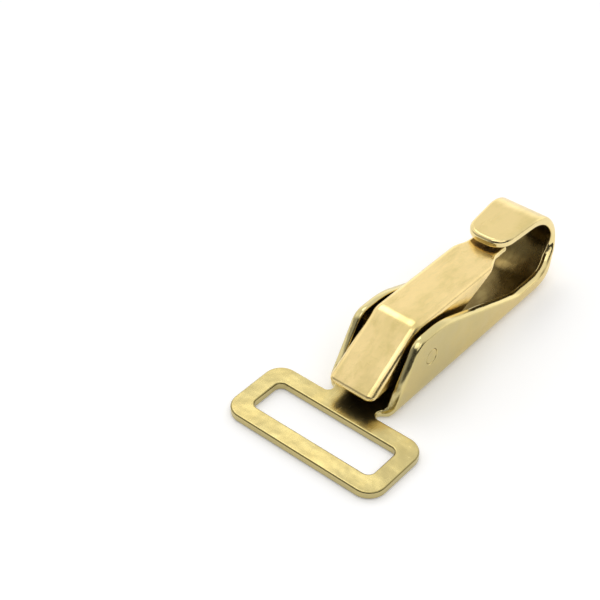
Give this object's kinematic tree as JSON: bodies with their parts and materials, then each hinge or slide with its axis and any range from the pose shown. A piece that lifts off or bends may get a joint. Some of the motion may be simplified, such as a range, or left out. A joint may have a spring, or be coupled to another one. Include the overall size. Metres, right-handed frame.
{
  "type": "belt key clip",
  "caption": "Pressed brass belt key clip: a strap loop, a channel with two ears and a folded hook, closed by a sprung rocking lever on a pivot pin.",
  "frame": {"origin": "on the flat back face, half way along the clip's length and half way across its width", "axes": "+X along the clip from the strap loop to the hook, +Y across it along the pivot pin, +Z from the back face to the lever"},
  "size_m": [0.068, 0.032, 0.0157],
  "materials": {
    "body_brass": "tumbled satin polish",
    "lever_brass": "tumbled satin polish",
    "pin_brass": "satin, riveted flush",
    "spring_wire": "bright drawn wire"
  },
  "bodies": {
    "hook": {"hook_body": "body_brass", "pivot_pin": "pin_brass", "return_spring": "spring_wire"},
    "lever": {"lever": "lever_brass"}
  },
  "joints": [
    {"name": "lever_pivot", "type": "hinge", "parent": "hook", "child": "lever", "pos_m": [-0.00675, 0, 0.0074], "axis": [0, 1, 0], "range_deg": [0, 18], "stiffness_Nm_per_rad": 0.06, "springref_deg": -20.05, "deforming": ["return_spring"]}
  ]
}
